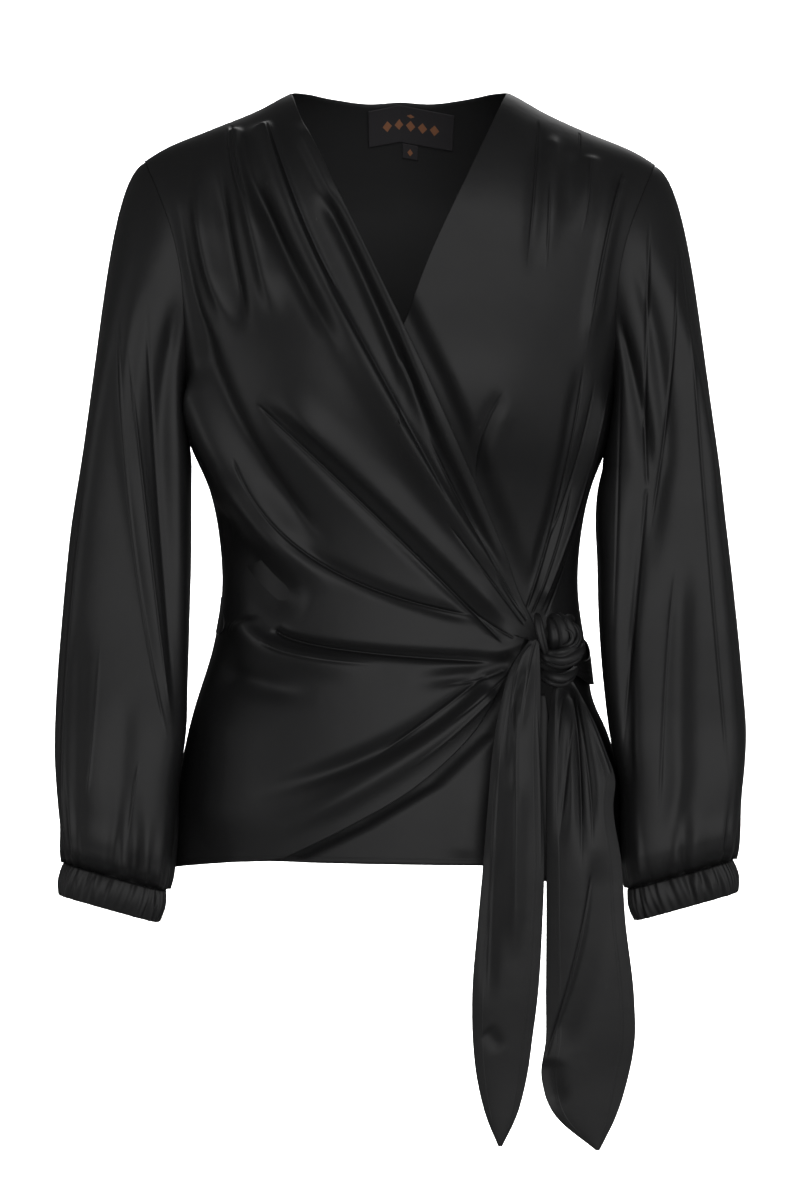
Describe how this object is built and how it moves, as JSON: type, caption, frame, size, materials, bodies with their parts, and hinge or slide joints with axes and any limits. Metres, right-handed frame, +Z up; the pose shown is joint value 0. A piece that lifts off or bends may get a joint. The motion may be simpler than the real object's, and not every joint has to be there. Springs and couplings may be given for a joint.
{
  "type": "wrap blouse",
  "caption": "Long-sleeved wrap blouse in satin with pleated shoulders, gathered wrists and ties knotted at the side, filled out as it is worn.",
  "frame": {"origin": "midway between the shoulder points, on the line of the shoulder seams, where the wearer's shoulders hold it up", "axes": "+X to the wearer's left, -Y to the front, +Z up"},
  "size_m": [0.53, 0.2338, 0.814],
  "materials": {
    "satin": "soft satin, face out",
    "woven_label": "woven, matt",
    "thread": "sewing thread"
  },
  "bodies": {
    "root": {"back": "satin", "cuff_left": "satin", "cuff_right": "satin", "front_left": "satin", "front_right": "satin", "knot_bulb": "satin", "knot_roll": "satin", "knot_wrap": "satin", "neck_label": "woven_label", "side_loop": "thread", "size_tab": "woven_label", "sleeve_left": "satin", "sleeve_right": "satin", "tail_front": "satin", "tail_side": "satin", "tie_waist": "satin"}
  },
  "joints": []
}
